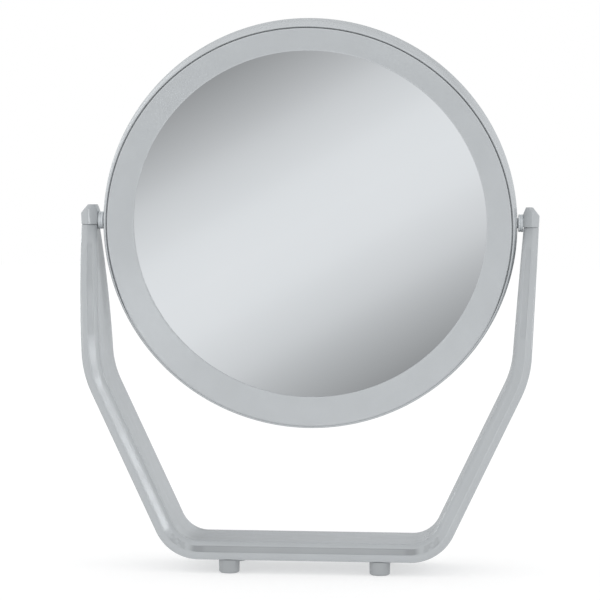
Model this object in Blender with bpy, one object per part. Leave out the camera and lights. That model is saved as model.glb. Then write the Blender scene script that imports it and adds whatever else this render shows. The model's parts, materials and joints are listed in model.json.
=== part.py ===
"""Countertop swivel mirror.

A bent strip stand on four peg feet carries a round two-sided mirror head between its arms.
The head turns on two pins about the X axis.  The origin is on the table, under the middle
of the stand; +Z is up and -Y is the side that the plane mirror faces.  Units are metres.
"""
import math

import bmesh
import bpy
from mathutils import Vector

# ---- clearances -------------------------------------------------------------------------
GAP = 0.0003                 # between pieces that touch on the real object
RUNNING_GAP = 0.00015        # between a pin and the bush that turns on it

# ---- stand: outer line of the strip, seen from the front ---------------------------------
FOOT_HEIGHT = 0.0070         # the bar's underside above the table
BAR_HALF = 0.0694            # half length of the bar to the corner of its outer line
KNEE_X = 0.1143              # outer corner between the slanted leg and the upright arm
KNEE_Z = 0.1015
ARM_SPLAY = 0.0490           # how far the arms lean out, per unit of height
STRIP_THICK = 0.0090
ARM_TOP_THICK = 0.0076
STRIP_HALF_DEPTH = 0.0280
ARM_TOP_HALF_DEPTH = 0.0085
LOWER_BEND_RADIUS = 0.0242
KNEE_RADIUS = 0.0550
STRIP_EDGE_RADIUS = 0.0018
FACET_START = 0.38           # facets of the front and rear edges, as shares of the thickness
FACET_END = 0.84
FACET_DEPTH = 0.0028         # how far the facet has receded at its inner end
CORNER_DEPTH = 0.0042        # and the steeper inner corner at the inner face

# ---- pivots ------------------------------------------------------------------------------
PIVOT_Z = 0.1800
CAP_TOP_Z = 0.1882
CAP_JOINT_BELOW_PIVOT = 0.0021
CAP_INNER_X = 0.1102
CAP_HALF_DEPTH = 0.0083
CAP_CHAMFER_X = 0.0036
CAP_CHAMFER_Z = 0.0047
SPIGOT_X = 0.1140
SPIGOT_RADIUS = 0.0022
SPIGOT_LENGTH = 0.0080
PIN_RADIUS = 0.0015
PIN_INNER_X = 0.0998
PIN_OUTER_X = 0.1155
BUSH_RADIUS = 0.0026
BUSH_INNER_X = 0.1023
STUB_RADIUS = 0.0045         # bush flange and friction washer
FLANGE_THICK = 0.0010
CLIP_RADIUS = 0.0034
CLIP_THICK = 0.0008

# ---- feet --------------------------------------------------------------------------------
FOOT_X = 0.0386
FOOT_Y = 0.0225
FOOT_RADIUS = 0.0053
FOOT_STEM_RADIUS = 0.0026
FOOT_STEM_LENGTH = 0.0040

# ---- mirror head, in its own frame: Y through the glass, origin at the rings' centre ------
HEAD_TILT = math.radians(11.4)       # top leans towards -Y
HEAD_DROP = 0.0020                   # rings' centre below the pivot axis, so that the head hangs steady
HEAD_HALF_THICK = 0.0125
RIM_RADIUS = 0.1073                  # at the parting line
RIM_EDGE_RADIUS = 0.1059             # at the front and rear edges
RIM_WALL_RADIUS = 0.1029
BEZEL_RADIUS = 0.1042
SEAM_GROOVE = 0.0007                 # open groove between a bezel and the rim's lip
BEZEL_SEAT = 0.0087                  # the rim's ledge under the bezel, from the mid plane
BEZEL_FLANGE_BASE = 0.00914
LIP_RADIUS = 0.0915                  # the visible glass
BEZEL_BACK_RADIUS = 0.0944
FRONT_LIP = 0.0031                   # back of the front bezel's lip, from the mid plane
REAR_LIP = 0.0090
GLASS_RADIUS = 0.0946
PLANE_GLASS_THICK = 0.0020
CONCAVE_GLASS_THICK = 0.0018
CONCAVE_SAG = 0.0070
CARRIER_OUTER = 0.0972
CARRIER_INNER = 0.0865
FOAM_OUTER = 0.0920
FOAM_THICK = 0.0008

RING_SEGMENTS = 64
SMALL_SEGMENTS = 24
SMOOTH_ANGLE = math.radians(32.0)
SIDES = (("left", -1), ("right", 1))


# ---- shared helpers ----------------------------------------------------------------------
def clear_scene():
    for obj in list(bpy.data.objects):
        bpy.data.objects.remove(obj, do_unlink=True)


def make_material(name, colour, roughness, metallic=0.0, transmission=0.0):
    material = bpy.data.materials.new(name)
    material.use_nodes = True
    shader = material.node_tree.nodes["Principled BSDF"]
    shader.inputs["Base Color"].default_value = (*colour, 1.0)
    shader.inputs["Roughness"].default_value = roughness
    shader.inputs["Metallic"].default_value = metallic
    shader.inputs["Transmission Weight"].default_value = transmission
    return material


def make_object(name, bm, material=None, parent=None, location=(0.0, 0.0, 0.0)):
    """Turn a bmesh into an object with outward faces, shaded smooth where it is round."""
    bmesh.ops.recalc_face_normals(bm, faces=bm.faces)
    mesh = bpy.data.meshes.new(name)
    bm.to_mesh(mesh)
    bm.free()
    mesh.shade_smooth()
    mesh.set_sharp_from_angle(angle=SMOOTH_ANGLE)
    obj = bpy.data.objects.new(name, mesh)
    bpy.context.scene.collection.objects.link(obj)
    obj.location = location
    obj.parent = parent
    if material is not None:
        mesh.materials.append(material)
    return obj


def make_cutter(name, bm, parent=None, location=(0.0, 0.0, 0.0)):
    cutter = make_object(name, bm, parent=parent, location=location)
    cutter.hide_render = True
    cutter.display_type = "WIRE"
    return cutter


def add_boolean(obj, tool, operation):
    modifier = obj.modifiers.new(f"{operation.lower()} {tool.name}", "BOOLEAN")
    modifier.object = tool
    modifier.operation = operation
    modifier.solver = "EXACT"


def turned_point(axis, radius, along, angle):
    across = (radius * math.cos(angle), radius * math.sin(angle))
    if axis == "X":
        return (along, across[0], across[1])
    if axis == "Y":
        return (across[0], along, across[1])
    return (across[0], across[1], along)


def add_turned(bm, profile, axis, segments, offset=(0.0, 0.0, 0.0)):
    """Add a body turned about an axis; profile is a loop of (radius, distance along it).

    A loop that touches the axis makes a solid, and one that doesn't makes a ring.
    """
    shift = Vector(offset)
    columns = []
    for radius, along in profile:
        count = 1 if radius == 0.0 else segments
        angles = [2.0 * math.pi * k / segments for k in range(count)]
        columns.append([bm.verts.new(Vector(turned_point(axis, radius, along, a)) + shift)
                        for a in angles])
    for i, first in enumerate(columns):
        second = columns[(i + 1) % len(columns)]
        if len(first) == 1 and len(second) == 1:
            continue
        for k in range(segments):
            after = (k + 1) % segments
            corners = [first[k % len(first)], first[after % len(first)],
                       second[after % len(second)], second[k % len(second)]]
            bm.faces.new(list(dict.fromkeys(corners)))


def turned_object(name, profile, axis, material, segments=SMALL_SEGMENTS, parent=None,
                  location=(0.0, 0.0, 0.0)):
    bm = bmesh.new()
    add_turned(bm, profile, axis, segments)
    return make_object(name, bm, material, parent, location)


def rod_profile(radius, start, end):
    return [(0.0, start), (radius, start), (radius, end), (0.0, end)]


def tube_profile(inner, outer, start, end):
    return [(inner, start), (outer, start), (outer, end), (inner, end)]


# ---- stand -------------------------------------------------------------------------------
def arm_outer_x(z):
    """Outer line of the upright arm and its cap at height z."""
    return KNEE_X + (z - KNEE_Z) * ARM_SPLAY


def inward(direction):
    """Normal of the strip towards the mirror, for a line that runs down the right side."""
    return Vector((direction.y, -direction.x))


def bend_points(corner, before, after, radius, steps):
    """Points and inward normals of the arc that rounds a corner of the outer line."""
    turn = before.angle(after)
    start = corner - before * radius * math.tan(turn / 2.0)
    centre = start + inward(before) * radius
    points = []
    for k in range(steps + 1):
        share = k / steps
        normal = (inward(before) * math.sin((1.0 - share) * turn)
                  + inward(after) * math.sin(share * turn)).normalized()
        points.append((centre - normal * radius, normal))
    return points


def strip_stations():
    """Stations (outer point, inward normal, thickness, half depth) from left top to right top."""
    arm_end_z = PIVOT_Z - CAP_JOINT_BELOW_PIVOT - GAP / 2.0
    top = Vector((arm_outer_x(arm_end_z), arm_end_z))
    knee = Vector((KNEE_X, KNEE_Z))
    bar_corner = Vector((BAR_HALF, FOOT_HEIGHT))
    arm_dir = (knee - top).normalized()
    leg_dir = (bar_corner - knee).normalized()
    bar_dir = Vector((-1.0, 0.0))

    knee_arc = bend_points(knee, arm_dir, leg_dir, KNEE_RADIUS, 5)
    lower_arc = bend_points(bar_corner, leg_dir, bar_dir, LOWER_BEND_RADIUS, 8)
    flare_end = knee_arc[0][0]
    arm_steps = 7
    right = []
    for k in range(arm_steps):
        share = 1.0 - k / arm_steps
        point = flare_end.lerp(top, share)
        thick = STRIP_THICK + (ARM_TOP_THICK - STRIP_THICK) * share
        depth = STRIP_HALF_DEPTH + (ARM_TOP_HALF_DEPTH - STRIP_HALF_DEPTH) * share ** 2
        normal = Vector((-1.0, 0.0)) if k == 0 else inward(arm_dir)
        right.append((point, normal, thick, depth))
    for point, normal in knee_arc + lower_arc:
        right.append((point, normal, STRIP_THICK, STRIP_HALF_DEPTH))

    left = [(Vector((-p.x, p.y)), Vector((-n.x, n.y)), t, d) for p, n, t, d in right]
    return left + right[::-1]


def strip_section(thick, half_depth):
    """Section of the strip, rounded outside and faceted inside: (distance inward, y)."""
    radius = STRIP_EDGE_RADIUS
    start, end = thick * FACET_START, thick * FACET_END
    points = [(start, -half_depth), (end, FACET_DEPTH - half_depth), (thick, CORNER_DEPTH - half_depth),
              (thick, half_depth - CORNER_DEPTH), (end, half_depth - FACET_DEPTH), (start, half_depth)]
    for y, first in ((half_depth - radius, 90), (radius - half_depth, 180)):
        for step in range(3):
            angle = math.radians(first + 45 * step)
            points.append((radius + radius * math.cos(angle), y + radius * math.sin(angle)))
    return points


def build_stand_frame(material):
    bm = bmesh.new()
    rows = []
    for point, normal, thick, depth in strip_stations():
        row = []
        for across, y in strip_section(thick, depth):
            at = point + normal * across
            row.append(bm.verts.new((at.x, y, at.y)))
        rows.append(row)
    for here, after in zip(rows, rows[1:]):
        for i in range(len(here)):
            j = (i + 1) % len(here)
            bm.faces.new((here[i], here[j], after[j], after[i]))
    bm.faces.new(rows[0])
    bm.faces.new(rows[-1])
    frame = make_object("stand_frame", bm, material)

    holes = bmesh.new()
    mouth = PIVOT_Z - CAP_JOINT_BELOW_PIVOT + 0.002
    depth = PIVOT_Z - CAP_JOINT_BELOW_PIVOT - SPIGOT_LENGTH - 0.0008
    for _, side in SIDES:
        add_turned(holes, rod_profile(SPIGOT_RADIUS + GAP, depth, mouth), "Z", SMALL_SEGMENTS,
                   (side * SPIGOT_X, 0.0, 0.0))
    stem_top = FOOT_HEIGHT + FOOT_STEM_LENGTH + GAP
    for x in (-FOOT_X, FOOT_X):
        for y in (-FOOT_Y, FOOT_Y):
            add_turned(holes, rod_profile(FOOT_STEM_RADIUS + GAP, 0.0, stem_top), "Z", SMALL_SEGMENTS,
                       (x, y, 0.0))
    add_boolean(frame, make_cutter("stand_holes", holes), "DIFFERENCE")


def build_pivot_cap(name, side, material):
    """End block of an arm: chamfered outer corner, spigot below, blind bore for the pin."""
    base_z = PIVOT_Z - CAP_JOINT_BELOW_PIVOT + GAP / 2.0
    chamfer_z = CAP_TOP_Z - CAP_CHAMFER_Z
    outline = [(CAP_INNER_X, base_z), (arm_outer_x(base_z), base_z),
               (arm_outer_x(chamfer_z), chamfer_z),
               (arm_outer_x(chamfer_z) - CAP_CHAMFER_X, CAP_TOP_Z), (CAP_INNER_X, CAP_TOP_Z)]
    bm = bmesh.new()
    front = [bm.verts.new((side * x, -CAP_HALF_DEPTH, z)) for x, z in outline]
    rear = [bm.verts.new((side * x, CAP_HALF_DEPTH, z)) for x, z in outline]
    bm.faces.new(front)
    bm.faces.new(rear)
    for i in range(len(outline)):
        j = (i + 1) % len(outline)
        bm.faces.new((front[i], front[j], rear[j], rear[i]))
    bmesh.ops.recalc_face_normals(bm, faces=bm.faces)
    bmesh.ops.bevel(bm, geom=list(bm.edges), offset=0.0005, segments=2, profile=0.5, affect="EDGES")
    cap = make_object(name, bm, material)

    spigot = bmesh.new()
    add_turned(spigot, rod_profile(SPIGOT_RADIUS, base_z - SPIGOT_LENGTH, base_z + 0.0005), "Z",
               SMALL_SEGMENTS, (side * SPIGOT_X, 0.0, 0.0))
    add_boolean(cap, make_cutter(f"{name}_spigot", spigot), "UNION")
    bore = bmesh.new()
    add_turned(bore, rod_profile(PIN_RADIUS + GAP, side * (CAP_INNER_X - 0.002),
                                 side * (PIN_OUTER_X + GAP)), "X", SMALL_SEGMENTS, (0.0, 0.0, PIVOT_Z))
    add_boolean(cap, make_cutter(f"{name}_bore", bore), "DIFFERENCE")


def build_foot(name, x, y, material):
    """Peg foot: domed edge at the table, stem pushed up into the bar."""
    top = FOOT_HEIGHT - GAP
    profile = [(0.0, 0.0), (FOOT_RADIUS - 0.0009, 0.0), (FOOT_RADIUS - 0.0002, 0.0004),
               (FOOT_RADIUS, 0.0012), (FOOT_RADIUS, top), (FOOT_STEM_RADIUS, top),
               (FOOT_STEM_RADIUS, top + FOOT_STEM_LENGTH), (0.0, top + FOOT_STEM_LENGTH)]
    turned_object(name, profile, "Z", material, location=(x, y, 0.0))


def build_pivot_hardware(label, side, materials, head_axis):
    """Pin, clip and washer stay with the stand; the bush turns with the head."""
    centre = (0.0, 0.0, PIVOT_Z)
    turned_object(f"pivot_pin_{label}", rod_profile(PIN_RADIUS, side * PIN_INNER_X, side * PIN_OUTER_X),
                  "X", materials["steel"], location=centre)
    clip_outer = BUSH_INNER_X - 0.0005
    clip_inner = clip_outer - CLIP_THICK
    turned_object(f"pin_clip_{label}",
                  tube_profile(PIN_RADIUS + GAP, CLIP_RADIUS, side * clip_inner, side * clip_outer),
                  "X", materials["steel"], location=centre)
    washer_outer = CAP_INNER_X - GAP
    washer_inner = RIM_RADIUS + 2.0 * GAP + FLANGE_THICK
    turned_object(f"friction_washer_{label}",
                  tube_profile(PIN_RADIUS + GAP, STUB_RADIUS, side * washer_inner, side * washer_outer),
                  "X", materials["nylon"], location=centre)
    flange_inner = RIM_RADIUS + GAP
    flange_outer = flange_inner + FLANGE_THICK
    bore = PIN_RADIUS + RUNNING_GAP
    profile = [(bore, side * BUSH_INNER_X), (BUSH_RADIUS, side * BUSH_INNER_X),
               (BUSH_RADIUS, side * flange_inner), (STUB_RADIUS, side * flange_inner),
               (STUB_RADIUS, side * flange_outer), (bore, side * flange_outer)]
    turned_object(f"pivot_bush_{label}", profile, "X", materials["nylon"], parent=head_axis)


# ---- mirror head -------------------------------------------------------------------------
def facing(profile, face):
    """Place a profile of (radius, distance from the mid plane) on the front (-1) or rear (+1)."""
    return [(radius, face * distance) for radius, distance in profile]


def head_piece(name, profile, face, material, head_axis):
    """Turn a profile about the rings' centre on the front or rear of the head."""
    return turned_object(name, facing(profile, face), "Y", material, RING_SEGMENTS, head_axis,
                         (0.0, 0.0, -HEAD_DROP))


def build_rim_shell(name, face, material, head_axis, bush_holes):
    steps = 4
    curve_end = HEAD_HALF_THICK - 0.0010
    profile = []
    for k in range(steps + 1):
        share = k / steps
        distance = GAP / 2.0 + (curve_end - GAP / 2.0) * share
        profile.append((RIM_RADIUS + (RIM_EDGE_RADIUS - RIM_RADIUS) * share ** 2, distance))
    lip_inner = BEZEL_RADIUS + SEAM_GROOVE
    profile += [(RIM_EDGE_RADIUS - 0.0003, HEAD_HALF_THICK - 0.0003), (lip_inner + 0.0002, HEAD_HALF_THICK),
                (lip_inner, HEAD_HALF_THICK - 0.0003), (lip_inner, BEZEL_SEAT), (RIM_WALL_RADIUS, BEZEL_SEAT),
                (RIM_WALL_RADIUS, GAP / 2.0)]
    shell = head_piece(name, profile, face, material, head_axis)
    add_boolean(shell, bush_holes, "DIFFERENCE")


def build_bezel(name, face, lip, lip_edge, material, head_axis):
    """Funnel insert: slopes from the rim down to the lip that holds the glass."""
    flange = HEAD_HALF_THICK - 0.0002
    profile = [(BEZEL_RADIUS, flange - 0.0002), (BEZEL_RADIUS - 0.0003, flange),
               (LIP_RADIUS + 0.0005, lip + lip_edge), (LIP_RADIUS, lip + 0.5 * lip_edge), (LIP_RADIUS, lip),
               (BEZEL_BACK_RADIUS, lip), (RIM_WALL_RADIUS, BEZEL_FLANGE_BASE),
               (BEZEL_RADIUS, BEZEL_FLANGE_BASE)]
    head_piece(name, profile, face, material, head_axis)


def build_mirrors(material, head_axis):
    """Plane glass at the front and a slumped concave glass at the rear."""
    plane_front = FRONT_LIP - GAP
    plane = rod_profile(GLASS_RADIUS, plane_front - PLANE_GLASS_THICK, plane_front)
    head_piece("plane_mirror", plane, -1, material, head_axis)
    rings = 5
    rim_y = REAR_LIP - GAP
    dish = []
    for k in range(rings + 1):
        radius = GLASS_RADIUS * k / rings
        dish.append((radius, rim_y - CONCAVE_SAG * (1.0 - (radius / GLASS_RADIUS) ** 2)))
    back = [(radius, y - CONCAVE_GLASS_THICK) for radius, y in reversed(dish)]
    head_piece("magnifying_mirror", dish + back, 1, material, head_axis)


def build_glass_mounting(materials, head_axis):
    """Carrier ring between the glasses, with a foam ring against each."""
    plane_back = -(FRONT_LIP - GAP - PLANE_GLASS_THICK)
    foam_front = plane_back + GAP
    web_front = foam_front + FOAM_THICK + GAP
    web_rear = 0.0042
    foam_rear = web_rear + GAP
    wall_inner = GLASS_RADIUS + GAP
    wall_front = -(FRONT_LIP - 2.0 * GAP)
    wall_rear = REAR_LIP - 2.0 * GAP
    carrier = [(CARRIER_INNER, web_front), (wall_inner, web_front), (wall_inner, wall_front),
               (CARRIER_OUTER, wall_front), (CARRIER_OUTER, wall_rear), (wall_inner, wall_rear),
               (wall_inner, web_rear), (CARRIER_INNER, web_rear)]
    head_piece("carrier_ring", carrier, 1, materials["rim"], head_axis)
    for end, start in (("front", foam_front), ("rear", foam_rear)):
        foam = tube_profile(CARRIER_INNER, FOAM_OUTER, start, start + FOAM_THICK)
        head_piece(f"foam_ring_{end}", foam, 1, materials["foam"], head_axis)


def main():
    clear_scene()
    materials = {
        "acrylic": make_material("grey acrylic", (0.49, 0.51, 0.52), 0.12, transmission=0.3),
        "bezel": make_material("silver bezel", (0.50, 0.52, 0.53), 0.28, metallic=0.2),
        "rim": make_material("grey rim", (0.52, 0.53, 0.54), 0.20),
        "mirror": make_material("silvered glass", (0.86, 0.88, 0.90), 0.02, metallic=1.0),
        "steel": make_material("steel", (0.60, 0.60, 0.62), 0.30, metallic=1.0),
        "nylon": make_material("nylon", (0.55, 0.56, 0.57), 0.40),
        "rubber": make_material("soft grey foot", (0.40, 0.39, 0.41), 0.60),
        "foam": make_material("foam", (0.10, 0.10, 0.11), 0.95),
    }

    build_stand_frame(materials["acrylic"])
    for end, y in (("front", -FOOT_Y), ("rear", FOOT_Y)):
        for label, side in SIDES:
            build_foot(f"foot_{end}_{label}", side * FOOT_X, y, materials["rubber"])

    head_axis = bpy.data.objects.new("head_axis", None)
    head_axis.location = (0.0, 0.0, PIVOT_Z)
    head_axis.rotation_euler = (HEAD_TILT, 0.0, 0.0)
    bpy.context.scene.collection.objects.link(head_axis)

    for label, side in SIDES:
        build_pivot_cap(f"pivot_cap_{label}", side, materials["acrylic"])
        build_pivot_hardware(label, side, materials, head_axis)

    holes = bmesh.new()
    for _, side in SIDES:
        add_turned(holes, rod_profile(BUSH_RADIUS + GAP, side * (RIM_WALL_RADIUS - 0.003),
                                      side * (RIM_RADIUS + 0.003)), "X", SMALL_SEGMENTS)
    bush_holes = make_cutter("bush_holes", holes, head_axis)
    build_rim_shell("rim_front_shell", -1, materials["rim"], head_axis, bush_holes)
    build_rim_shell("rim_rear_shell", 1, materials["rim"], head_axis, bush_holes)
    build_bezel("front_bezel", -1, FRONT_LIP, 0.00065, materials["bezel"], head_axis)
    build_bezel("rear_bezel", 1, REAR_LIP, 0.00075, materials["bezel"], head_axis)
    build_mirrors(materials["mirror"], head_axis)
    build_glass_mounting(materials, head_axis)


main()
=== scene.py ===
"""Looks of the countertop mirror: fine meshes, materials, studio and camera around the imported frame."""
import json
import math

import bmesh
import bpy
from mathutils import Matrix, Vector


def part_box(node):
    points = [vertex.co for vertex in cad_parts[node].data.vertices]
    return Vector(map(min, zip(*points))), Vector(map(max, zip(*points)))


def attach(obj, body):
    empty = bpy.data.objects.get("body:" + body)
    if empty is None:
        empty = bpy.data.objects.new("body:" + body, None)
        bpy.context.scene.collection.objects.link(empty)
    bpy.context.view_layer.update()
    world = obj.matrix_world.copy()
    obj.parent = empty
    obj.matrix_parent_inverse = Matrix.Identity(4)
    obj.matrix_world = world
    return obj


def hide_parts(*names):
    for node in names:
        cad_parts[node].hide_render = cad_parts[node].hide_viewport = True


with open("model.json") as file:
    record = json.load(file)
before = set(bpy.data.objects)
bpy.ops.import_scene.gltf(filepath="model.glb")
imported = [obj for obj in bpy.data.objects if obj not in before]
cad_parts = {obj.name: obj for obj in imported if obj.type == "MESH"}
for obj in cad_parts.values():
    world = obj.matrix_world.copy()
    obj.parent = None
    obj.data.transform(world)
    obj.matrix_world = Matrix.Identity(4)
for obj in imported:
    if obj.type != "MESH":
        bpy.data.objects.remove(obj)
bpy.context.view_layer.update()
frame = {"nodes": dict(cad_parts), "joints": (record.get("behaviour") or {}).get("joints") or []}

STAND = "stand"
HEAD = "mirror_head"
PIVOT = Vector(frame["joints"][0]["pos_m"])
SIDES = (("left", -1), ("right", 1))
FINE = 256                   # segments of the large turned rings
SMALL = 64                   # segments of the small turned pieces
HOLE_SEGMENTS = 32
HOLE_EDGE = 0.0002           # eased rims of the holes' cutters
STEM_HOLE_EDGE = 0.0003
GAP = 0.0003
ON_AXIS = 1e-9               # a radius below this is a point on the axis
CORNER_REACH = 0.45          # how much of the shorter side a rounding may take
FACES_FRONT = -0.5           # the normal's Y of the faces that look to the front

# ---- stand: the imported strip's own driving sizes -------------------------------------------
BAR_HALF = 0.0694
KNEE_X = 0.1143
KNEE_Z = 0.1015
ARM_SPLAY = 0.0490
STRIP_THICK = 0.0090
ARM_TOP_THICK = 0.0076
ARM_TOP_HALF_DEPTH = 0.0085
KNEE_RADIUS = 0.0550
LOWER_BEND_RADIUS = 0.0242
STATION_STEP = 0.0012
LEAST_BEND_STEPS = 8
FACET_START = 0.38           # facets of the front and rear edges, as shares of the thickness
FACET_END = 0.84
FACET_DEPTH = 0.0028         # how far the facet has receded at its inner end
CORNER_DEPTH = 0.0042        # and the steeper inner corner at the inner face
OUTER_ROUND = 0.0016
FACET_ROUND = 0.0006
END_BEVEL = 0.0004
END_BEVEL_MIDDLE = 0.3       # where the bevel's middle ring lies, as a share of the bevel
ARM_TURN_RATE = 12.0         # how soon, down from the top, the section turns square to the arm
SECTION_STEPS = 5            # points of each rounded corner of the section
RIPPLE = (0.1690, 0.1860, 0.005)              # waves at the lower bends: from, to and taper, along the strip
RIPPLE_WAVES = ((0.0087, 0.7, 0.00009), (0.0053, -1.3, 0.00004))  # wavelength, slant, height
RIPPLE_SHADE = 0.30          # painted shade on the highest wave
CHANNEL_STEPS = 26
CHANNEL_WALL = (0.0, 0.12)   # where a channel's wall starts and ends, as shares of the facet's width
CHANNEL_ENDS = 0.035         # length of a channel's ends, which get deeper painted shade
CHANNEL_END_SHADE = 0.4      # how much deeper that painted shade is
CHANNEL_FLOOR_SHADE = 0.6    # painted shade on a channel's floor and on its walls
CHANNEL_WALL_SHADE = 2.8
CHANNELS = (                 # shallow channel sunk along each facet, one per straight stretch:
    # from, to and taper, as lengths along the strip from the top of an arm; depth; painted shade
    (0.0090, 0.0575, 0.004, 0.00025, 0.15),
    (0.0605, 0.1725, 0.005, 0.00004, 0.00),
    (0.1850, 0.3000, 0.012, 0.00025, 0.88))


# ---- what the frame says -------------------------------------------------------------------
def head_tilt():
    """Lean of the head at rest, from the front faces of the plane mirror's solid."""
    outward = Vector()
    for face in frame["nodes"]["plane_mirror"].data.polygons:
        if face.normal.y < FACES_FRONT:
            outward += face.normal * face.area
    return math.atan2(-outward.z, -outward.y)


def node_points(node, placed):
    """A node's vertices in the coordinates of a placement matrix."""
    inverse = placed.inverted()
    return [inverse @ v.co for v in frame["nodes"][node].data.vertices]


def middle_z(points):
    """Height halfway between the lowest and the highest point."""
    heights = [p.z for p in points]
    return (min(heights) + max(heights)) / 2.0


AXIS_FRAME = Matrix.Translation(PIVOT) @ Matrix.Rotation(head_tilt(), 4, "X")
RING_DROP = middle_z(node_points("plane_mirror", AXIS_FRAME))
RING_FRAME = AXIS_FRAME @ Matrix.Translation((0.0, 0.0, RING_DROP))


def radii(node):
    """Smallest and largest distance of a turned head node from the head's Y axis."""
    spread = [math.hypot(p.x, p.z) for p in node_points(node, RING_FRAME)]
    return min(spread), max(spread)


def depths(node):
    """Lowest and highest Y of a head node in the head's frame."""
    ys = [p.y for p in node_points(node, RING_FRAME)]
    return min(ys), max(ys)


# ---- mesh helpers --------------------------------------------------------------------------
def mesh_object(name, bm):
    """Object of a closed bmesh with outward faces."""
    bmesh.ops.recalc_face_normals(bm, faces=bm.faces)
    mesh = bpy.data.meshes.new(name)
    bm.to_mesh(mesh)
    bm.free()
    made = bpy.data.objects.new(name, mesh)
    bpy.context.scene.collection.objects.link(made)
    return made


def join_or_cut(target, tool_bm, operation):
    """Apply an exact boolean of target with the tool's bmesh."""
    tool = mesh_object("tool", tool_bm)
    modifier = target.modifiers.new("boolean", "BOOLEAN")
    modifier.object = tool
    modifier.operation = operation
    modifier.solver = "EXACT"
    result = bpy.data.meshes.new_from_object(target.evaluated_get(bpy.context.evaluated_depsgraph_get()))
    target.modifiers.clear()
    target.data = result
    bpy.data.objects.remove(tool)


def hand_over(piece, material, body, replaces=(), placed=None, smooth=35.0):
    """Smooth a finished piece, give it its material and its body, and hide the nodes that it stands for."""
    piece.data.shade_smooth()
    piece.data.set_sharp_from_angle(angle=math.radians(smooth))
    even = piece.modifiers.new("even shading", "WEIGHTED_NORMAL")
    even.mode = "FACE_AREA"
    even.weight = 100
    even.keep_sharp = True
    if placed is not None:
        piece.data.transform(placed)
    piece.data.materials.clear()
    piece.data.materials.append(material)
    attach(piece, body)
    if replaces:
        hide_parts(*replaces)


def add_turned(bm, profile, axis, segments, offset=(0.0, 0.0, 0.0)):
    """Body turned about an axis from a loop of (radius, distance along the axis)."""
    place = {"X": lambda r, h, c, s: (h, r * c, r * s),
             "Y": lambda r, h, c, s: (r * c, h, r * s),
             "Z": lambda r, h, c, s: (r * c, r * s, h)}[axis]
    shift = Vector(offset)
    columns = []
    for radius, along in profile:
        count = 1 if radius < ON_AXIS else segments
        angles = [2.0 * math.pi * k / segments for k in range(count)]
        columns.append([bm.verts.new(Vector(place(radius, along, math.cos(a), math.sin(a))) + shift)
                        for a in angles])
    for i, first in enumerate(columns):
        second = columns[(i + 1) % len(columns)]
        if len(first) == 1 and len(second) == 1:
            continue
        for k in range(segments):
            after = (k + 1) % segments
            corners = [first[k % len(first)], first[after % len(first)],
                       second[after % len(second)], second[k % len(second)]]
            bm.faces.new(list(dict.fromkeys(corners)))


def turned(name, profile, axis, segments=SMALL, offset=(0.0, 0.0, 0.0)):
    """Object of one turned body."""
    bm = bmesh.new()
    add_turned(bm, profile, axis, segments, offset)
    return mesh_object(name, bm)


def soften(outline, steps=4):
    """Round the corners of a closed outline of (u, v, radius); a corner on the axis stays sharp."""
    result = []
    count = len(outline)
    for i, (u, v, radius) in enumerate(outline):
        here = Vector((u, v))
        if radius == 0.0:
            result.append((u, v))
            continue
        before = Vector(outline[i - 1][:2]) - here
        after = Vector(outline[(i + 1) % count][:2]) - here
        reach = min(radius, CORNER_REACH * before.length, CORNER_REACH * after.length)
        start = here + before.normalized() * reach
        end = here + after.normalized() * reach
        for k in range(steps + 1):
            t = k / steps
            at = start * (1 - t) ** 2 + here * 2 * t * (1 - t) + end * t ** 2
            result.append((at.x, at.y))
    return result


def rod(radius, start, end, edge):
    """Profile of a rod with eased rims and a guard ring that keeps its end faces flat."""
    edge = min(edge, abs(end - start) / 3.0)
    guard = radius - 2.0 * edge
    return soften([(0.0, start, 0.0), (guard, start, 0.0), (radius, start, edge),
                   (radius, end, edge), (guard, end, 0.0), (0.0, end, 0.0)])


def tube(inner, outer, start, end, edge):
    """Profile of a tube with eased rims."""
    return soften([(inner, start, edge), (outer, start, edge), (outer, end, edge), (inner, end, edge)])


# ---- materials -----------------------------------------------------------------------------
COOL_TINT = (0.957, 1.0, 1.032)
NOISE_SPAN = (0.3, 0.7)      # the noise's usual range, spread over the whole range that it drives


def cool(level):
    """Linear colour of the object's slightly cool grey."""
    return tuple(level * part for part in COOL_TINT)


def new_material(name, colour, roughness, metallic=0.0, transmission=0.0, ior=1.5):
    material = bpy.data.materials.new(name)
    material.use_nodes = True
    shader = material.node_tree.nodes["Principled BSDF"]
    shader.inputs["Base Color"].default_value = (*colour, 1.0)
    shader.inputs["Roughness"].default_value = roughness
    shader.inputs["Metallic"].default_value = metallic
    shader.inputs["Transmission Weight"].default_value = transmission
    shader.inputs["IOR"].default_value = ior
    return material


def noise(material, scale, detail=3.0, stretch=(1.0, 1.0, 1.0)):
    """Noise in the piece's own metres, so that its grain keeps its size."""
    nodes = material.node_tree.nodes
    links = material.node_tree.links
    where = nodes.new("ShaderNodeTexCoord")
    mapping = nodes.new("ShaderNodeMapping")
    mapping.inputs["Scale"].default_value = stretch
    grain = nodes.new("ShaderNodeTexNoise")
    grain.inputs["Scale"].default_value = scale
    grain.inputs["Detail"].default_value = detail
    links.new(where.outputs["Object"], mapping.inputs["Vector"])
    links.new(mapping.outputs["Vector"], grain.inputs["Vector"])
    return grain.outputs["Fac"]


def drive(material, socket, source, low, high):
    """Let a noise move a number of the shader between low and high."""
    spread = material.node_tree.nodes.new("ShaderNodeMapRange")
    spread.inputs["From Min"].default_value = NOISE_SPAN[0]
    spread.inputs["From Max"].default_value = NOISE_SPAN[1]
    spread.inputs["To Min"].default_value = low
    spread.inputs["To Max"].default_value = high
    material.node_tree.links.new(source, spread.inputs["Value"])
    shader = material.node_tree.nodes["Principled BSDF"]
    material.node_tree.links.new(spread.outputs["Result"], shader.inputs[socket])


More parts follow.
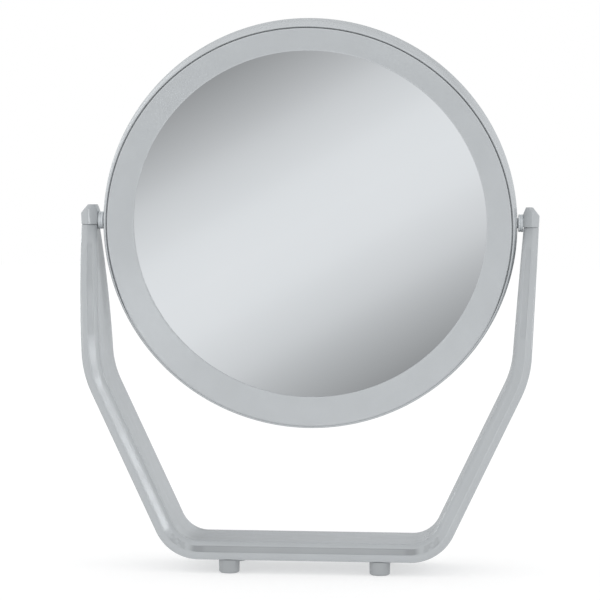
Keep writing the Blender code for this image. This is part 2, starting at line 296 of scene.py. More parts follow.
def tint(material, source, dark, light):
    """Let a noise move the shader's colour between dark and light."""
    ramp = material.node_tree.nodes.new("ShaderNodeValToRGB")
    for stop, position, colour in zip(ramp.color_ramp.elements, NOISE_SPAN, (dark, light)):
        stop.position = position
        stop.color = (*colour, 1.0)
    material.node_tree.links.new(source, ramp.inputs["Fac"])
    shader = material.node_tree.nodes["Principled BSDF"]
    material.node_tree.links.new(ramp.outputs["Color"], shader.inputs["Base Color"])


def bump(material, source, height, strength):
    """Let a noise roughen the surface."""
    node = material.node_tree.nodes.new("ShaderNodeBump")
    node.inputs["Strength"].default_value = strength
    node.inputs["Distance"].default_value = height
    material.node_tree.links.new(source, node.inputs["Height"])
    shader = material.node_tree.nodes["Principled BSDF"]
    material.node_tree.links.new(node.outputs["Normal"], shader.inputs["Normal"])


def paint_channel_shade(material, factor):
    """Painted shade: the base colour is darkened by the channel attribute along the sunk channels, their
    walls and ends and the wave crests, in place of the dark refractions inside the clear plastic.
    """
    nodes = material.node_tree.nodes
    links = material.node_tree.links
    colour = nodes["Principled BSDF"].inputs["Base Color"]
    plain = colour.links[0].from_socket
    channel = nodes.new("ShaderNodeAttribute")
    channel.attribute_name = "channel"
    mix = nodes.new("ShaderNodeMixRGB")
    mix.blend_type = "MULTIPLY"
    mix.inputs["Color2"].default_value = (factor, factor, factor, 1.0)
    links.new(channel.outputs["Fac"], mix.inputs["Fac"])
    links.new(plain, mix.inputs["Color1"])
    links.new(mix.outputs["Color"], colour)


def acrylic_material():
    """Milky grey acrylic: mostly opaque, polished, with faint flow clouds from moulding and painted shade
    along the facets' channels.
    """
    material = new_material("grey_acrylic", cool(0.52), roughness=0.10, transmission=0.15, ior=1.49)
    clouds = noise(material, scale=34.0, stretch=(1.0, 1.0, 0.35))
    tint(material, clouds, dark=cool(0.505), light=cool(0.535))
    # painted shade: channels, their walls and ends and the wave crests go down to 0.66 of the base colour
    paint_channel_shade(material, factor=0.66)
    drive(material, "Roughness", noise(material, scale=110.0, detail=5.0), low=0.05, high=0.20)
    bump(material, noise(material, scale=48.0, detail=2.0), height=0.0003, strength=0.5)
    return material


def plastic_material(name, grey, roughness, grain, height=0.00003):
    """Moulded plastic with a fine grain and slightly uneven gloss."""
    material = new_material(name, cool(grey), roughness)
    tint(material, noise(material, scale=70.0), dark=cool(grey * 0.98), light=cool(grey * 1.02))
    gloss = noise(material, scale=420.0, detail=6.0)
    drive(material, "Roughness", gloss, low=roughness - 0.05, high=roughness + 0.07)
    bump(material, noise(material, scale=grain), height, strength=0.10)
    return material


def mirror_material():
    """Silvered glass: sharp reflections with the faintest wiping haze."""
    material = new_material("silvered_glass", (0.91, 0.91, 0.915), roughness=0.01, metallic=1.0)
    tint(material, noise(material, scale=14.0), dark=(0.902, 0.905, 0.910), light=(0.918, 0.915, 0.920))
    haze = noise(material, scale=40.0, detail=6.0, stretch=(1.0, 1.0, 3.0))
    drive(material, "Roughness", haze, low=0.004, high=0.03)
    return material


def steel_material():
    """Turned steel of the pins and clips, with uneven gloss."""
    material = new_material("turned_steel", (0.55, 0.56, 0.58), roughness=0.28, metallic=1.0)
    tint(material, noise(material, scale=200.0), dark=(0.52, 0.53, 0.55), light=(0.58, 0.59, 0.61))
    drive(material, "Roughness", noise(material, scale=900.0, detail=4.0), low=0.20, high=0.42)
    return material


ACRYLIC = acrylic_material()
BEZEL = plastic_material("silver_bezel", 0.508, 0.34, 2600.0)
RIM = plastic_material("grey_rim", 0.51, 0.27, 2200.0)
NYLON = plastic_material("grey_nylon", 0.78, 0.42, 3000.0)
FOOT = plastic_material("soft_foot", 0.36, 0.55, 3200.0)
FOAM = plastic_material("foam", 0.06, 0.90, 1500.0, 0.0003)
MIRROR = mirror_material()
STEEL = steel_material()


# ---- stand ---------------------------------------------------------------------------------
def arm_outer_x(z):
    """Outer line of the upright arm and its cap at height z."""
    return KNEE_X + (z - KNEE_Z) * ARM_SPLAY


def inward(direction):
    """Normal of the strip towards the mirror, for a line that runs down the right side."""
    return Vector((direction.y, -direction.x))


def straight(start, end, step):
    """Points along a straight stretch, its end left out."""
    count = max(1, round((end - start).length / step))
    return [start.lerp(end, k / count) for k in range(count)]


def bend(corner, before, after, radius, step):
    """Points and inward normals of the arc that rounds a corner of the outer line."""
    turn = before.angle(after)
    start = corner - before * radius * math.tan(turn / 2.0)
    centre = start + inward(before) * radius
    count = max(LEAST_BEND_STEPS, round(radius * turn / step))
    result = []
    for k in range(count + 1):
        share = k / count
        normal = (inward(before) * math.sin((1.0 - share) * turn)
                  + inward(after) * math.sin(share * turn)).normalized()
        result.append((centre - normal * radius, normal))
    return result


def strip_stations():
    """Stations from the left top to the right top, with what the section needs at each.

    A station is (outer point, inward normal, thickness, half depth, inset).
    """
    low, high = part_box("stand_frame")
    full_depth = high[1]
    bar_z, top_z = low[2], high[2]
    top = Vector((arm_outer_x(top_z), top_z))
    knee = Vector((KNEE_X, KNEE_Z))
    corner = Vector((BAR_HALF, bar_z))
    arm_dir = (knee - top).normalized()
    leg_dir = (corner - knee).normalized()
    bar_dir = Vector((-1.0, 0.0))
    knee_arc = bend(knee, arm_dir, leg_dir, KNEE_RADIUS, STATION_STEP)
    low_arc = bend(corner, leg_dir, bar_dir, LOWER_BEND_RADIUS, STATION_STEP / 2.0)
    arm_end = knee_arc[0][0]
    level = Vector((-1.0, 0.0))

    def arm_station(point, inset=0.0):
        share = (point - arm_end).length / (top - arm_end).length
        depth = full_depth + (ARM_TOP_HALF_DEPTH - full_depth) * share ** 2
        thick = STRIP_THICK + (ARM_TOP_THICK - STRIP_THICK) * share
        normal = level.lerp(inward(arm_dir), min(1.0, (1.0 - share) * ARM_TURN_RATE)).normalized()
        return (point, normal, thick, depth, inset)

    def full_section(places):
        return [(point, normal, STRIP_THICK, full_depth, 0.0) for point, normal in places]

    middle = Vector((0.0, bar_z))
    leg = straight(knee_arc[-1][0], low_arc[0][0], STATION_STEP)
    bar = straight(low_arc[-1][0], middle, STATION_STEP)
    right = [arm_station(top, END_BEVEL),
             arm_station(top + arm_dir * END_BEVEL * END_BEVEL_MIDDLE, END_BEVEL * END_BEVEL_MIDDLE)]
    right += [arm_station(p) for p in straight(top + arm_dir * END_BEVEL, arm_end, STATION_STEP)]
    right += full_section(knee_arc[:-1])
    right += full_section((p, inward(leg_dir)) for p in leg)
    right += full_section(low_arc[:-1])
    right += full_section((p, inward(bar_dir)) for p in bar)
    left = [(Vector((-p.x, p.y)), Vector((-n.x, n.y)), t, d, i) for p, n, t, d, i in right]
    return left + full_section([(middle, inward(bar_dir))]) + right[::-1]


def ease(value):
    """Smooth step from 0 to 1."""
    value = min(1.0, max(0.0, value))
    return value * value * (3.0 - 2.0 * value)


def channel_at(length):
    """How open the facet's channel is, its depth and its painted shade, at a length from the nearer arm's
    top.
    """
    opening, depth, painted_shade = 0.0, 0.0, 0.0
    for start, end, taper, full_depth, full_painted_shade in CHANNELS:
        here = ease((length - start) / taper) * ease((end - length) / taper)
        if here > opening:
            to_end = min(length - start, end - length) / CHANNEL_ENDS
            opening, depth = here, full_depth
            painted_shade = full_painted_shade * (1.0 + CHANNEL_END_SHADE * (1.0 - ease(to_end)))
    return opening, depth, painted_shade


def ripple_at(length):
    """The slight waves left by the lower bends, as (phase, slant, height) at a length."""
    start, end, taper = RIPPLE
    here = ease((length - start) / taper) * ease((end - length) / taper)
    return [(2.0 * math.pi * length / wave, 2.0 * math.pi * slant, height * here)
            for wave, slant, height in RIPPLE_WAVES]


def sunk_facet(start, end, opening, depth, painted_shade, waves):
    """Points between the ends of a facet, sunk by a channel, with painted shade on its floor and deeper
    painted shade on its walls and the wave crests: (across, y, painted shade).
    """
    slope = (end - start).normalized()
    down = Vector((-slope.y, slope.x))
    if down.x > 0.0:
        down = -down
    wall_start, wall_end = CHANNEL_WALL
    points = []
    for k in range(1, CHANNEL_STEPS):
        u = k / CHANNEL_STEPS
        from_edge = (min(u, 1.0 - u) - wall_start) / (wall_end - wall_start)
        sunk = opening * ease(from_edge)
        ripple = sum(height * (1.0 + math.sin(phase + slant * u)) for phase, slant, height in waves)
        at = start.lerp(end, u) + down * (depth * sunk + ripple * ease(from_edge))
        # painted shade: deeper on the channel's walls than on its floor, plus a painted dark crest on each
        # wave
        painted_floor_and_wall_shade = CHANNEL_FLOOR_SHADE * sunk + CHANNEL_WALL_SHADE * sunk * (1.0 - sunk)
        painted_crest_shade = RIPPLE_SHADE * min(1.0, ripple / RIPPLE_WAVES[0][2]) ** 3
        points.append((at.x, at.y, painted_shade * painted_floor_and_wall_shade + painted_crest_shade))
    return points


def strip_section(thick, half_depth, inset, channel):
    """Section with rounded outer corners and, on each edge, a sunk facet and a steeper inner corner."""
    near, far = inset, thick - inset
    reach = half_depth - inset
    start, end = thick * FACET_START, thick * FACET_END - inset
    front = [(near, -reach, OUTER_ROUND), (start, -reach, FACET_ROUND),
             (end, FACET_DEPTH - reach, FACET_ROUND), (far, CORNER_DEPTH - reach, FACET_ROUND)]
    rear = [(across, -y, radius) for across, y, radius in reversed(front)]
    points = [Vector(p) for p in soften(front + rear, SECTION_STEPS)]
    per_corner = SECTION_STEPS + 1
    front_facet, rear_facet = 2 * per_corner - 1, 6 * per_corner - 1
    section = []
    for i, point in enumerate(points):
        section.append((point.x, point.y, 0.0))
        if i in (front_facet, rear_facet):
            section += sunk_facet(point, points[i + 1], *channel)
    return section


def build_stand():
    """Bent strip swept along its stations, with the holes for the cap spigots and the feet's stems."""
    stations = strip_stations()
    lengths = [0.0]
    for here, after in zip(stations, stations[1:]):
        lengths.append(lengths[-1] + (after[0] - here[0]).length)
    bm = bmesh.new()
    # each vertex carries its painted shade in the channel attribute, which darkens the acrylic's colour
    painted_shade_layer = bm.verts.layers.float.new("channel")
    rows = []
    for (point, normal, thick, depth, inset), length in zip(stations, lengths):
        from_top = min(length, lengths[-1] - length)
        channel = (*channel_at(from_top), ripple_at(from_top))
        row = []
        for across, y, sunk in strip_section(thick, depth, inset, channel):
            at = point + normal * across
            vert = bm.verts.new((at.x, y, at.y))
            vert[painted_shade_layer] = sunk
            row.append(vert)
        rows.append(row)
    for here, after in zip(rows, rows[1:]):
        for i in range(len(here)):
            j = (i + 1) % len(here)
            bm.faces.new((here[i], here[j], after[j], after[i]))
    bm.faces.new(rows[0])
    bm.faces.new(rows[-1])
    strip = mesh_object("stand_strip", bm)

    holes = bmesh.new()
    for label, side in SIDES:
        spigot_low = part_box(f"pivot_cap_{label}")[0][2]
        add_turned(holes, rod(SPIGOT_RADIUS + GAP, spigot_low - SPIGOT_END_GAP, PIVOT.z, STEM_HOLE_EDGE),
                   "Z", HOLE_SEGMENTS, (side * SPIGOT_X, 0.0, 0.0))
        for end in ("front", "rear"):
            low, high = (Vector(c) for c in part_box(f"foot_{end}_{label}"))
            centre = (low + high) / 2.0
            add_turned(holes, rod(FOOT_STEM_RADIUS + GAP, 0.0, high.z + GAP, STEM_HOLE_EDGE),
                       "Z", HOLE_SEGMENTS, (centre.x, centre.y, 0.0))
    join_or_cut(strip, holes, "DIFFERENCE")
    hand_over(strip, ACRYLIC, STAND, ("stand_frame",))


# ---- pivots --------------------------------------------------------------------------------
SPIGOT_X = 0.1140
SPIGOT_RADIUS = 0.0022
SPIGOT_EDGE = 0.0004
SPIGOT_END_GAP = 0.0008                      # left below the spigot in the arm
PIN_RADIUS = 0.0015
RUNNING_GAP = 0.00015
CAP_SEAT = 0.00003                           # the cap all but touches the arm
CAP_OUTER_CHAMFER = (0.0036, 0.0047)         # across, down
CAP_INNER_CHAMFER = (0.0014, 0.0034)
CAP_FACE_CHAMFER = (0.0016, 0.0023)
CAP_SIDE_CHAMFER = (0.0045, 0.0030)          # across, back: carries the arm's facet up the cap
CAP_BEVEL = 0.0004
CAP_BEVEL_STEPS = 4
OVERLAP = 0.001                              # how far the spigot's upper end is merged with the cap
CUT_PAST = 0.002                             # how far the bore's cutter starts before the cap
FIT = 0.00004                                # between pieces that bear on each other
WASHER_EDGE = 0.00015
BUSH_EDGE = 0.0002
SLEEVE_REACH = 0.0005                        # points this near the inner end belong to the sleeve
LEVEL_DIGITS = 6                             # decimals at which two levels count as one


def cap_block(inner, depth, base, top):
    """Right-hand block in line with its arm, its top cut back on all four sides."""
    outline = [(inner, base), (arm_outer_x(base), base), (arm_outer_x(top), top), (inner, top)]
    bm = bmesh.new()
    front = [bm.verts.new((x, -depth, z)) for x, z in outline]
    rear = [bm.verts.new((x, depth, z)) for x, z in outline]
    bm.faces.new(front)
    bm.faces.new(rear)
    for i in range(len(outline)):
        j = (i + 1) % len(outline)
        bm.faces.new((front[i], front[j], rear[j], rear[i]))
    bmesh.ops.recalc_face_normals(bm, faces=bm.faces)
    up, outside, inside = Vector((0.0, 0.0, 1.0)), Vector((1.0, 0.0, 0.0)), Vector((-1.0, 0.0, 0.0))
    chamfers = [(CAP_OUTER_CHAMFER, Vector((arm_outer_x(top), 0.0, top)), outside, up),
                (CAP_INNER_CHAMFER, Vector((inner, 0.0, top)), inside, up)]
    for y in (-depth, depth):
        face = Vector((0.0, math.copysign(1.0, y), 0.0))
        chamfers.append((CAP_FACE_CHAMFER, Vector((inner, y, top)), face, up))
        chamfers.append((CAP_SIDE_CHAMFER, Vector((inner, y, top)), inside, face))
    for (across, down), edge, outward, upward in chamfers:
        point = edge - outward * across
        normal = (outward * down + upward * across).normalized()
        geometry = list(bm.verts) + list(bm.edges) + list(bm.faces)
        bmesh.ops.bisect_plane(bm, geom=geometry, plane_co=point, plane_no=normal, clear_outer=True)
        open_edges = [e for e in bm.edges if e.is_boundary]
        bmesh.ops.holes_fill(bm, edges=open_edges)
    bmesh.ops.bevel(bm, geom=list(bm.edges), offset=CAP_BEVEL, segments=CAP_BEVEL_STEPS, profile=0.5,
                    affect="EDGES")
    return bm


def build_cap(label, side):
    """End block of an arm, with the spigot that enters the arm and the bore for the pin."""
    node = f"pivot_cap_{label}"
    low, high = (Vector(c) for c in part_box(node))
    inner = min(abs(low.x), abs(high.x))
    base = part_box("stand_frame")[1][2] + CAP_SEAT
    block = cap_block(inner, high.y, base, high.z)
    if side < 0:
        bmesh.ops.scale(block, vec=(-1.0, 1.0, 1.0), verts=block.verts)
    cap = mesh_object(f"arm_cap_{label}", block)

    spigot = bmesh.new()
    add_turned(spigot, rod(SPIGOT_RADIUS, low.z, base + OVERLAP, SPIGOT_EDGE), "Z", HOLE_SEGMENTS,
               (side * SPIGOT_X, 0.0, 0.0))
    join_or_cut(cap, spigot, "UNION")
    bore = bmesh.new()
    pin_low, pin_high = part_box(f"pivot_pin_{label}")
    pin_outer = max(abs(pin_low[0]), abs(pin_high[0]))
    add_turned(bore, rod(PIN_RADIUS + GAP, side * (inner - CUT_PAST), side * (pin_outer + GAP), HOLE_EDGE),
               "X", HOLE_SEGMENTS, (0.0, 0.0, PIVOT.z))
    join_or_cut(cap, bore, "DIFFERENCE")
    hand_over(cap, ACRYLIC, STAND, (node,), smooth=30.0)


def bearing_x(label):
    """Where the bush's flange bears on the washer, as a distance from the middle of the mirror."""
    bush_x = max(abs(p.x) for p in node_points(f"pivot_bush_{label}", AXIS_FRAME))
    washer_x = min(abs(c[0]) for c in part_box(f"friction_washer_{label}"))
    return (bush_x + washer_x) / 2.0


def build_washer(label, side):
    """Friction washer on the pin, between the bush's flange and the cap."""
    node = f"friction_washer_{label}"
    low, high = (Vector(c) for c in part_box(node))
    radius = (high.z - low.z) / 2.0
    inner = bearing_x(label) + FIT / 2.0
    outer = min(abs(corner[0]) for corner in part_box(f"pivot_cap_{label}")) - FIT
    profile = tube(PIN_RADIUS + GAP, radius, side * inner, side * outer, WASHER_EDGE)
    piece = turned(f"washer_{label}", profile, "X", SMALL, (0.0, 0.0, PIVOT.z))
    hand_over(piece, NYLON, STAND, (node,))


def build_bush(label, side):
    """Flanged bush pressed into the rim."""
    node = f"pivot_bush_{label}"
    points = node_points(node, AXIS_FRAME)
    inner = min(abs(p.x) for p in points)
    outer = bearing_x(label) - FIT / 2.0
    flange_radius = max(math.hypot(p.y, p.z) for p in points)
    sleeve_radius = max(math.hypot(p.y, p.z) for p in points if abs(p.x) < inner + SLEEVE_REACH)
    levels = sorted({round(abs(p.x), LEVEL_DIGITS) for p in points})
    flange = levels[-2]                      # the flange's face is the last level, its back the one before
    bore = PIN_RADIUS + RUNNING_GAP
    outline = [(bore, inner, BUSH_EDGE), (sleeve_radius, inner, BUSH_EDGE), (sleeve_radius, flange, 0.0),
               (flange_radius, flange, BUSH_EDGE), (flange_radius, outer, WASHER_EDGE),
               (bore, outer, BUSH_EDGE)]
    profile = [(r, side * x) for r, x in soften(outline)]
    piece = turned(f"bush_{label}", profile, "X", SMALL)
    hand_over(piece, NYLON, HEAD, (node,), AXIS_FRAME)


# ---- feet ----------------------------------------------------------------------------------
FOOT_STEM_RADIUS = 0.0026
FOOT_STEM_EDGE = 0.0004
FOOT_TREAD = 0.80            # flat part of the tread, as a share of the radius
FOOT_DRAFT = 0.0001
FOOT_ROUND = 0.0008
FOOT_ROUND_HEIGHT = 0.0007
FOOT_TOP_EDGE = 0.0002


def build_foot(end, label):
    """Peg foot: softly rounded tread, slight draft, and the stem pushed up into the bar."""
    node = f"foot_{end}_{label}"
    low, high = (Vector(c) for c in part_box(node))
    centre = (low + high) / 2.0
    radius = (high.x - low.x) / 2.0
    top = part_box("stand_frame")[0][2] - FIT
    outline = [(0.0, 0.0, 0.0), (radius * FOOT_TREAD, 0.0, FOOT_ROUND),
               (radius - FOOT_DRAFT, FOOT_ROUND_HEIGHT, FOOT_ROUND), (radius, top - FOOT_TOP_EDGE, 0.0),
               (radius - FOOT_TOP_EDGE, top, FOOT_TOP_EDGE / 2.0), (FOOT_STEM_RADIUS, top, 0.0),
               (FOOT_STEM_RADIUS, high.z, FOOT_STEM_EDGE), (0.0, high.z, 0.0)]
    piece = turned(f"peg_{end}_{label}", soften(outline), "Z", SMALL, (centre.x, centre.y, 0.0))
    hand_over(piece, FOOT, STAND, (node,))


# ---- mirror head ---------------------------------------------------------------------------
RIM_EDGE_RADIUS = 0.1059
RIM_WALL_RADIUS = 0.1029
RIM_STEPS = 12               # steps of the rim's curve
RIM_SHOULDER = 0.0010        # height of the rounded edge beside the bezel
RIM_SHOULDER_DRAFT = 0.0001
RIM_SHOULDER_ROUND = 0.0006
RIM_LIP_ROUND = 0.0004
BUSH_RADIUS = 0.0026
BUSH_CUT_PAST = 0.003        # how far the cutter of the bush's hole reaches past the wall
SEAM_GROOVE = 0.0007         # width and depth of the gap between rim and bezel
SEAM_DEPTH = 0.0018
LEDGE_GAP = 0.0001
BEZEL_RADIUS = 0.1042
BEZEL_SEAT = 0.0087
BEZEL_FLANGE_BASE = 0.00914
BEZEL_BACK_RADIUS = 0.0944
BEZEL_EDGE = 0.0004          # width, drop and rounding of the bezel's outer edge
BEZEL_EDGE_DROP = 0.0001
BEZEL_EDGE_ROUND = 0.00025
BEZEL_LIP_WIDTH = 0.0007     # the lip that is rolled over the glass, and its rounding
BEZEL_LIP_ROUND = 0.0006
BEZEL_LIP_STEP = 0.6         # height of its inner corner, as a share of the lip's
BEZEL_TOE_ROUND = 0.0001
BEZEL_STEPS = 6
PLANE_LIP = 0.00065          # height of the lips above the plane and the concave glass
CONCAVE_LIP = 0.00075
# Eased edge at the parting line: how far in from the rim's outline, how far from the parting plane.
PARTING_GROOVE = ((0.00060, 0.0), (0.00042, 0.00020), (0.00020, 0.00055), (0.00005, 0.00095), (0.0, 0.0013))
TRIM = 0.0001                # keeps the finer outline inside the solid's own box
SETTLED_GAP = 0.00006        # what is left of the gap round the bezel along its lower third
SETTLED_FROM = -0.24         # sines of the angle where the gap starts to close and is closed
SETTLED_TO = -0.50
SETTLED_BAND = 0.0008        # width of the bezel's edge that is carried out
GLASS_EDGE = 0.0003
CONCAVE_SAG = 0.0070
CONCAVE_THICK = 0.0018
CONCAVE_RINGS = 40


def facing(profile, face):
    """A profile turned to the front (-1) or the rear (1)."""
    return [(radius, face * distance) for radius, distance in profile]


def build_rim(name, node, face):
    """Half of the rim: gently curved outside, eased at the parting line, with the bezel's ledge."""
    rim_radius = radii(node)[1] - TRIM
    half_thick = max(abs(y) for y in depths(node)) - TRIM
    parting = min(abs(y) for y in depths(node))
    outline = [(RIM_WALL_RADIUS, parting)]
    outline += [(rim_radius - depth, parting + back) for depth, back in PARTING_GROOVE]
    groove_end = parting + PARTING_GROOVE[-1][1]
    curve_end = half_thick - RIM_SHOULDER
    for k in range(1, RIM_STEPS + 1):
        share = k / RIM_STEPS
        outline.append((rim_radius + (RIM_EDGE_RADIUS - rim_radius) * share ** 2,
                        groove_end + (curve_end - groove_end) * share))
    lip_inner = BEZEL_RADIUS + SEAM_GROOVE
    lip = soften([(RIM_EDGE_RADIUS, curve_end, 0.0),
                  (RIM_EDGE_RADIUS - RIM_SHOULDER_DRAFT, half_thick, RIM_SHOULDER_ROUND),
                  (lip_inner, half_thick, RIM_LIP_ROUND), (lip_inner, BEZEL_SEAT, 0.0)])[1:-1]
    ledge = half_thick - SEAM_DEPTH
    outline += lip + [(lip_inner, ledge), (BEZEL_RADIUS + LEDGE_GAP, ledge),
                      (BEZEL_RADIUS + LEDGE_GAP, BEZEL_SEAT), (RIM_WALL_RADIUS, BEZEL_SEAT)]
    shell = turned(name, facing(outline, face), "Y", FINE)
    holes = bmesh.new()
    for _, side in SIDES:
        hole = rod(BUSH_RADIUS + GAP, side * (RIM_WALL_RADIUS - BUSH_CUT_PAST),
                   side * (rim_radius + BUSH_CUT_PAST), HOLE_EDGE)
        add_turned(holes, hole, "X", HOLE_SEGMENTS, (0.0, 0.0, -RING_DROP))
    join_or_cut(shell, holes, "DIFFERENCE")
    hand_over(shell, RIM, HEAD, (node,), RING_FRAME)


def build_bezel(name, node, face, lip_height):
    """Funnel insert with a rolled lip over the edge of the glass."""
    lip_radius = radii(node)[0]
    far = max(abs(y) for y in depths(node))
    near = glass_face(face) + FIT
    outline = [(BEZEL_RADIUS, far - BEZEL_EDGE_DROP, BEZEL_EDGE_ROUND),
               (BEZEL_RADIUS - BEZEL_EDGE, far, BEZEL_EDGE),
               (lip_radius + BEZEL_LIP_WIDTH, near + lip_height, BEZEL_LIP_ROUND),
               (lip_radius, near + BEZEL_LIP_STEP * lip_height, BEZEL_EDGE),
               (lip_radius, near, BEZEL_TOE_ROUND), (BEZEL_BACK_RADIUS, near, 0.0),
               (RIM_WALL_RADIUS, BEZEL_FLANGE_BASE, 0.0), (BEZEL_RADIUS, BEZEL_FLANGE_BASE, 0.0)]
    piece = turned(name, facing(soften(outline, BEZEL_STEPS), face), "Y", FINE)
    settle(piece)
    hand_over(piece, BEZEL, HEAD, (node,), RING_FRAME)


def settle(bezel):
    """Carry the bezel's edge out to the rim along the bottom, where the bezel rests on it."""
    for vert in bezel.data.vertices:
        radius = math.hypot(vert.co.x, vert.co.z)
        share = ease((radius - BEZEL_RADIUS + SETTLED_BAND) / SETTLED_BAND)
        low = ease((vert.co.z / radius - SETTLED_FROM) / (SETTLED_TO - SETTLED_FROM))
        grown = radius + share * low * (SEAM_GROOVE - SETTLED_GAP)
        vert.co.x *= grown / radius
        vert.co.z *= grown / radius


def glass_face(face):
    """How far out the rim of the plane (-1) or the concave (1) glass reaches."""
    glass = "plane_mirror" if face < 0 else "magnifying_mirror"
    return max(y * face for y in depths(glass))


def build_plane_glass():
    """Flat disc of silvered glass with an eased edge."""
    radius = radii("plane_mirror")[1]
    front, back = depths("plane_mirror")
    piece = turned("plane_glass", rod(radius, front, back, GLASS_EDGE), "Y", FINE)
    hand_over(piece, MIRROR, HEAD, ("plane_mirror",), RING_FRAME)


def build_concave_glass():
    """Dished magnifying glass of even thickness."""
    radius = radii("magnifying_mirror")[1]
    rim_y = depths("magnifying_mirror")[1]
    shares = [k / CONCAVE_RINGS for k in range(CONCAVE_RINGS + 1)]
    dish = [(radius * share, rim_y - CONCAVE_SAG * (1.0 - share ** 2)) for share in shares]
    back = [(r, y - CONCAVE_THICK) for r, y in reversed(dish)]
    piece = turned("concave_glass", dish + back, "Y", FINE)
    hand_over(piece, MIRROR, HEAD, ("magnifying_mirror",), RING_FRAME)


build_stand()
for label, side in SIDES:
    build_cap(label, side)
    build_washer(label, side)
    build_bush(label, side)
    for end in ("front", "rear"):
        build_foot(end, label)
build_rim("rim_front", "rim_front_shell", -1)
build_rim("rim_rear", "rim_rear_shell", 1)
build_bezel("bezel_front", "front_bezel", -1, PLANE_LIP)
build_bezel("bezel_rear", "rear_bezel", 1, CONCAVE_LIP)
build_plane_glass()
build_concave_glass()

# Hidden pieces that keep their own solids and only get a material.
CARRIED_OVER = {"pivot_pin_left": STEEL, "pivot_pin_right": STEEL,
                "pin_clip_left": STEEL, "pin_clip_right": STEEL,
                "carrier_ring": RIM, "foam_ring_front": FOAM, "foam_ring_rear": FOAM}
for node_name, material in CARRIED_OVER.items():
    node = frame["nodes"][node_name]
    node.data.materials.clear()
    node.data.materials.append(material)


# ---- studio --------------------------------------------------------------------------------
FLOOR_HALF = 6.0
FLOOR_GREY = 0.55
FLOOR_ROUGHNESS = 0.9
FLOOR_GLOW = 0.50            # lifts the grey back to white wherever the object casts no shade


def build_floor():
    """Wide floor that reads as plain white, with a soft shadow, and that no gloss shows."""
    bm = bmesh.new()
    corners = ((-1, -1), (1, -1), (1, 1), (-1, 1))
    bm.faces.new([bm.verts.new((x * FLOOR_HALF, y * FLOOR_HALF, 0.0)) for x, y in corners])
    floor = mesh_object("studio_floor", bm)
    material = new_material("pale_floor", (FLOOR_GREY, FLOOR_GREY, FLOOR_GREY), FLOOR_ROUGHNESS)
    shader = material.node_tree.nodes["Principled BSDF"]
    shader.inputs["Emission Color"].default_value = (1.0, 1.0, 1.0, 1.0)
    shader.inputs["Emission Strength"].default_value = FLOOR_GLOW
    shader.inputs["Specular IOR Level"].default_value = 0.0
    floor.data.materials.append(material)
    floor.visible_glossy = False


SOFTBOXES = {"key_softbox": (Vector((-1.30, -1.60, 0.45)), 1.0, 4.0),      # place, size, power
             "fill_softbox": (Vector((1.50, -1.20, 0.35)), 1.4, 2.2)}
SOFTBOX_TARGET = Vector((0.0, 0.0, 0.15))


def build_softboxes():
    """Weak lights from the front left and, weaker still and unseen in the gloss, from the right."""
    for name, (place, size, power) in SOFTBOXES.items():
        data = bpy.data.lights.new(name, "AREA")
        data.shape = "SQUARE"
        data.size = size
        data.energy = power
        light = bpy.data.objects.new(name, data)
        bpy.context.scene.collection.objects.link(light)
        light.location = place
        light.rotation_euler = (SOFTBOX_TARGET - place).to_track_quat("-Z", "Y").to_euler()
        light.visible_glossy = name == "key_softbox"


# Soft panels around the set, as the glossy surfaces see them: brightness across the band that the
# plane glass shows, by the cosine of the direction with BAND_AXIS.
BAND_AXIS = (-0.5052, -0.3087, 0.8059)
BAND_CENTRE = -0.0004
BAND_STOPS = ((0.00, 0.820), (0.09, 0.768), (0.19, 0.595), (0.30, 0.355), (0.40, 0.28), (0.60, 0.42),
              (1.00, 0.70))
BAND_REACH = 0.22
BAND_TINT = (0.965, 1.0, 1.025)
# Bright upright panel to the right, which the facets of the left leg and knee show as a streak.
STREAK_AZIMUTH = math.radians(-33.5)
STREAK_SIDES = (-0.160, -0.110, 0.042, 0.054)     # sines of the angle from STREAK_AZIMUTH: fade in, fade out
STREAK_HEIGHTS = (-0.060, -0.020, 0.410, 0.450)   # sines of the height above the horizon
STREAK_LEVEL = 5.4
GLOW_SIDES = (-0.200, -0.160, 0.400, 0.600)       # weaker glow spreading away from the panel
GLOW_LEVEL = 0.9
# Slightly darker wall behind, which the inner faces on the right show at a glancing angle.
WALL_SIDES = (-0.300, -0.200, 0.020, 0.080)       # across, up and back, as parts of the direction
WALL_HEIGHTS = (-0.250, -0.200, 0.020, 0.080)
WALL_BACK = (0.800, 0.900)
WALL_SHADE = 0.26


class WorldNodes:
    """Small helpers that add and join the world's shader nodes."""

    def __init__(self, tree):
        self.nodes = tree.nodes
        self.links = tree.links

    def math(self, operation, first, second=None, clamp=False):
        """Result of an operation on sockets or plain numbers."""
        node = self.nodes.new("ShaderNodeMath")
        node.operation = operation
        node.use_clamp = clamp
        for socket, value in zip(node.inputs, (first, second)):
            if isinstance(value, float):
                socket.default_value = value
            elif value is not None:
                self.links.new(value, socket)
        return node.outputs[0]

    def along(self, direction, axis):
        """Cosine of the direction with an axis."""
        node = self.nodes.new("ShaderNodeVectorMath")
        node.operation = "DOT_PRODUCT"
        self.links.new(direction, node.inputs[0])
        node.inputs[1].default_value = axis
        return node.outputs["Value"]

    def between(self, value, limits):
        """1 between the middle two of four limits, fading to 0 at the outer two."""
        rise = self.fade(value, limits[0], limits[1])
        fall = self.fade(value, limits[3], limits[2])
        return self.math("MULTIPLY", rise, fall)

    def fade(self, value, zero_at, one_at):
        """0 to 1 as the value goes from one limit to the other, held beyond them."""
        node = self.nodes.new("ShaderNodeMapRange")
        node.interpolation_type = "SMOOTHSTEP"
        node.inputs["From Min"].default_value = zero_at
        node.inputs["From Max"].default_value = one_at
        self.links.new(value, node.inputs["Value"])
        return node.outputs["Result"]


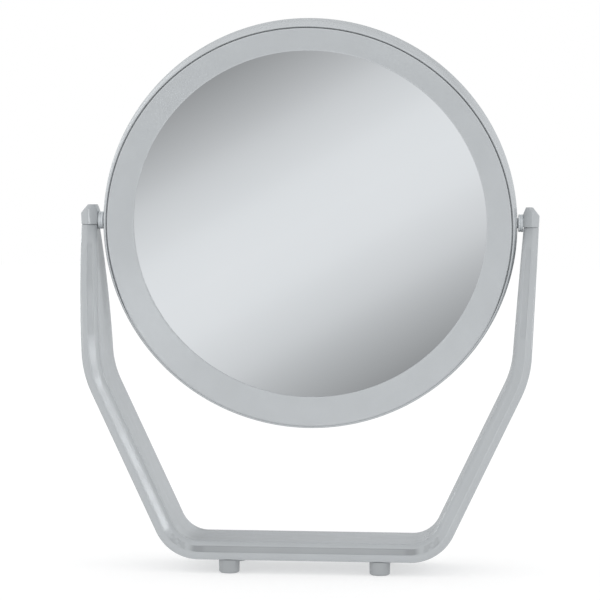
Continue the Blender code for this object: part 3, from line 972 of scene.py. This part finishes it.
def build_world():
    """White surroundings; glossy rays see the soft band, the bright panel and the darker wall instead."""
    world = bpy.data.worlds.new("studio")
    bpy.context.scene.world = world
    world.use_nodes = True
    tree = WorldNodes(world.node_tree)
    white = tree.nodes["Background"]
    white.inputs["Color"].default_value = (1.0, 1.0, 1.0, 1.0)
    white.inputs["Strength"].default_value = 1.0
    where = tree.nodes.new("ShaderNodeTexCoord").outputs["Generated"]

    offset = tree.math("SUBTRACT", tree.along(where, BAND_AXIS), BAND_CENTRE)
    share = tree.math("DIVIDE", tree.math("ABSOLUTE", offset), BAND_REACH, clamp=True)
    ramp = tree.nodes.new("ShaderNodeValToRGB")
    ramp.color_ramp.interpolation = "CARDINAL"
    stops = ramp.color_ramp.elements
    while len(stops) < len(BAND_STOPS):
        stops.new(0.5)
    for stop, (position, level) in zip(stops, BAND_STOPS):
        stop.position = position
        stop.color = (*(level * part for part in BAND_TINT), 1.0)
    tree.links.new(share, ramp.inputs["Fac"])

    sideways = tree.along(where, (-math.sin(STREAK_AZIMUTH), math.cos(STREAK_AZIMUTH), 0.0))
    upward = tree.along(where, (0.0, 0.0, 1.0))
    streak = tree.math("MULTIPLY", tree.between(sideways, STREAK_SIDES), tree.between(upward, STREAK_HEIGHTS))
    glow = tree.math("MULTIPLY", tree.between(sideways, GLOW_SIDES), tree.between(upward, STREAK_HEIGHTS))
    strength = 1.0
    for mask, level in ((streak, STREAK_LEVEL), (glow, GLOW_LEVEL)):
        strength = tree.math("ADD", strength, tree.math("MULTIPLY", mask, level / BAND_STOPS[-1][1]))
    wall = tree.math("MULTIPLY", tree.between(tree.along(where, (1.0, 0.0, 0.0)), WALL_SIDES),
                     tree.between(upward, WALL_HEIGHTS))
    wall = tree.math("MULTIPLY", wall, tree.fade(tree.along(where, (0.0, 1.0, 0.0)), *WALL_BACK))
    wall = tree.math("SUBTRACT", 1.0, tree.math("MULTIPLY", wall, WALL_SHADE))
    strength = tree.math("MULTIPLY", strength, wall)

    panels = tree.nodes.new("ShaderNodeBackground")
    tree.links.new(ramp.outputs["Color"], panels.inputs["Color"])
    tree.links.new(strength, panels.inputs["Strength"])
    mix = tree.nodes.new("ShaderNodeMixShader")
    tree.links.new(tree.nodes.new("ShaderNodeLightPath").outputs["Is Glossy Ray"], mix.inputs["Fac"])
    tree.links.new(white.outputs[0], mix.inputs[1])
    tree.links.new(panels.outputs[0], mix.inputs[2])
    tree.links.new(mix.outputs[0], tree.nodes["World Output"].inputs["Surface"])


CAMERA_AT = Vector((0.0900, -1.3203, 0.1903))
CAMERA_YAW = 0.0717
CAMERA_PITCH = -0.0385
CAMERA_ROLL = -0.007
CAMERA_LENS = 153.2
CAMERA_SENSOR = 36.0


def build_camera():
    """Long lens from the front, turned slightly to the left and down."""
    data = bpy.data.cameras.new("camera")
    data.lens = CAMERA_LENS
    data.sensor_width = CAMERA_SENSOR
    camera = bpy.data.objects.new("camera", data)
    bpy.context.scene.collection.objects.link(camera)
    aim = (Matrix.Rotation(CAMERA_YAW, 4, "Z") @ Matrix.Rotation(CAMERA_PITCH, 4, "X")
           @ Matrix.Rotation(CAMERA_ROLL, 4, "Y") @ Matrix.Rotation(math.radians(90.0), 4, "X"))
    camera.matrix_world = Matrix.Translation(CAMERA_AT) @ aim
    bpy.context.scene.camera = camera


build_floor()
build_softboxes()
build_world()
build_camera()
bpy.context.scene.view_settings.view_transform = "Standard"
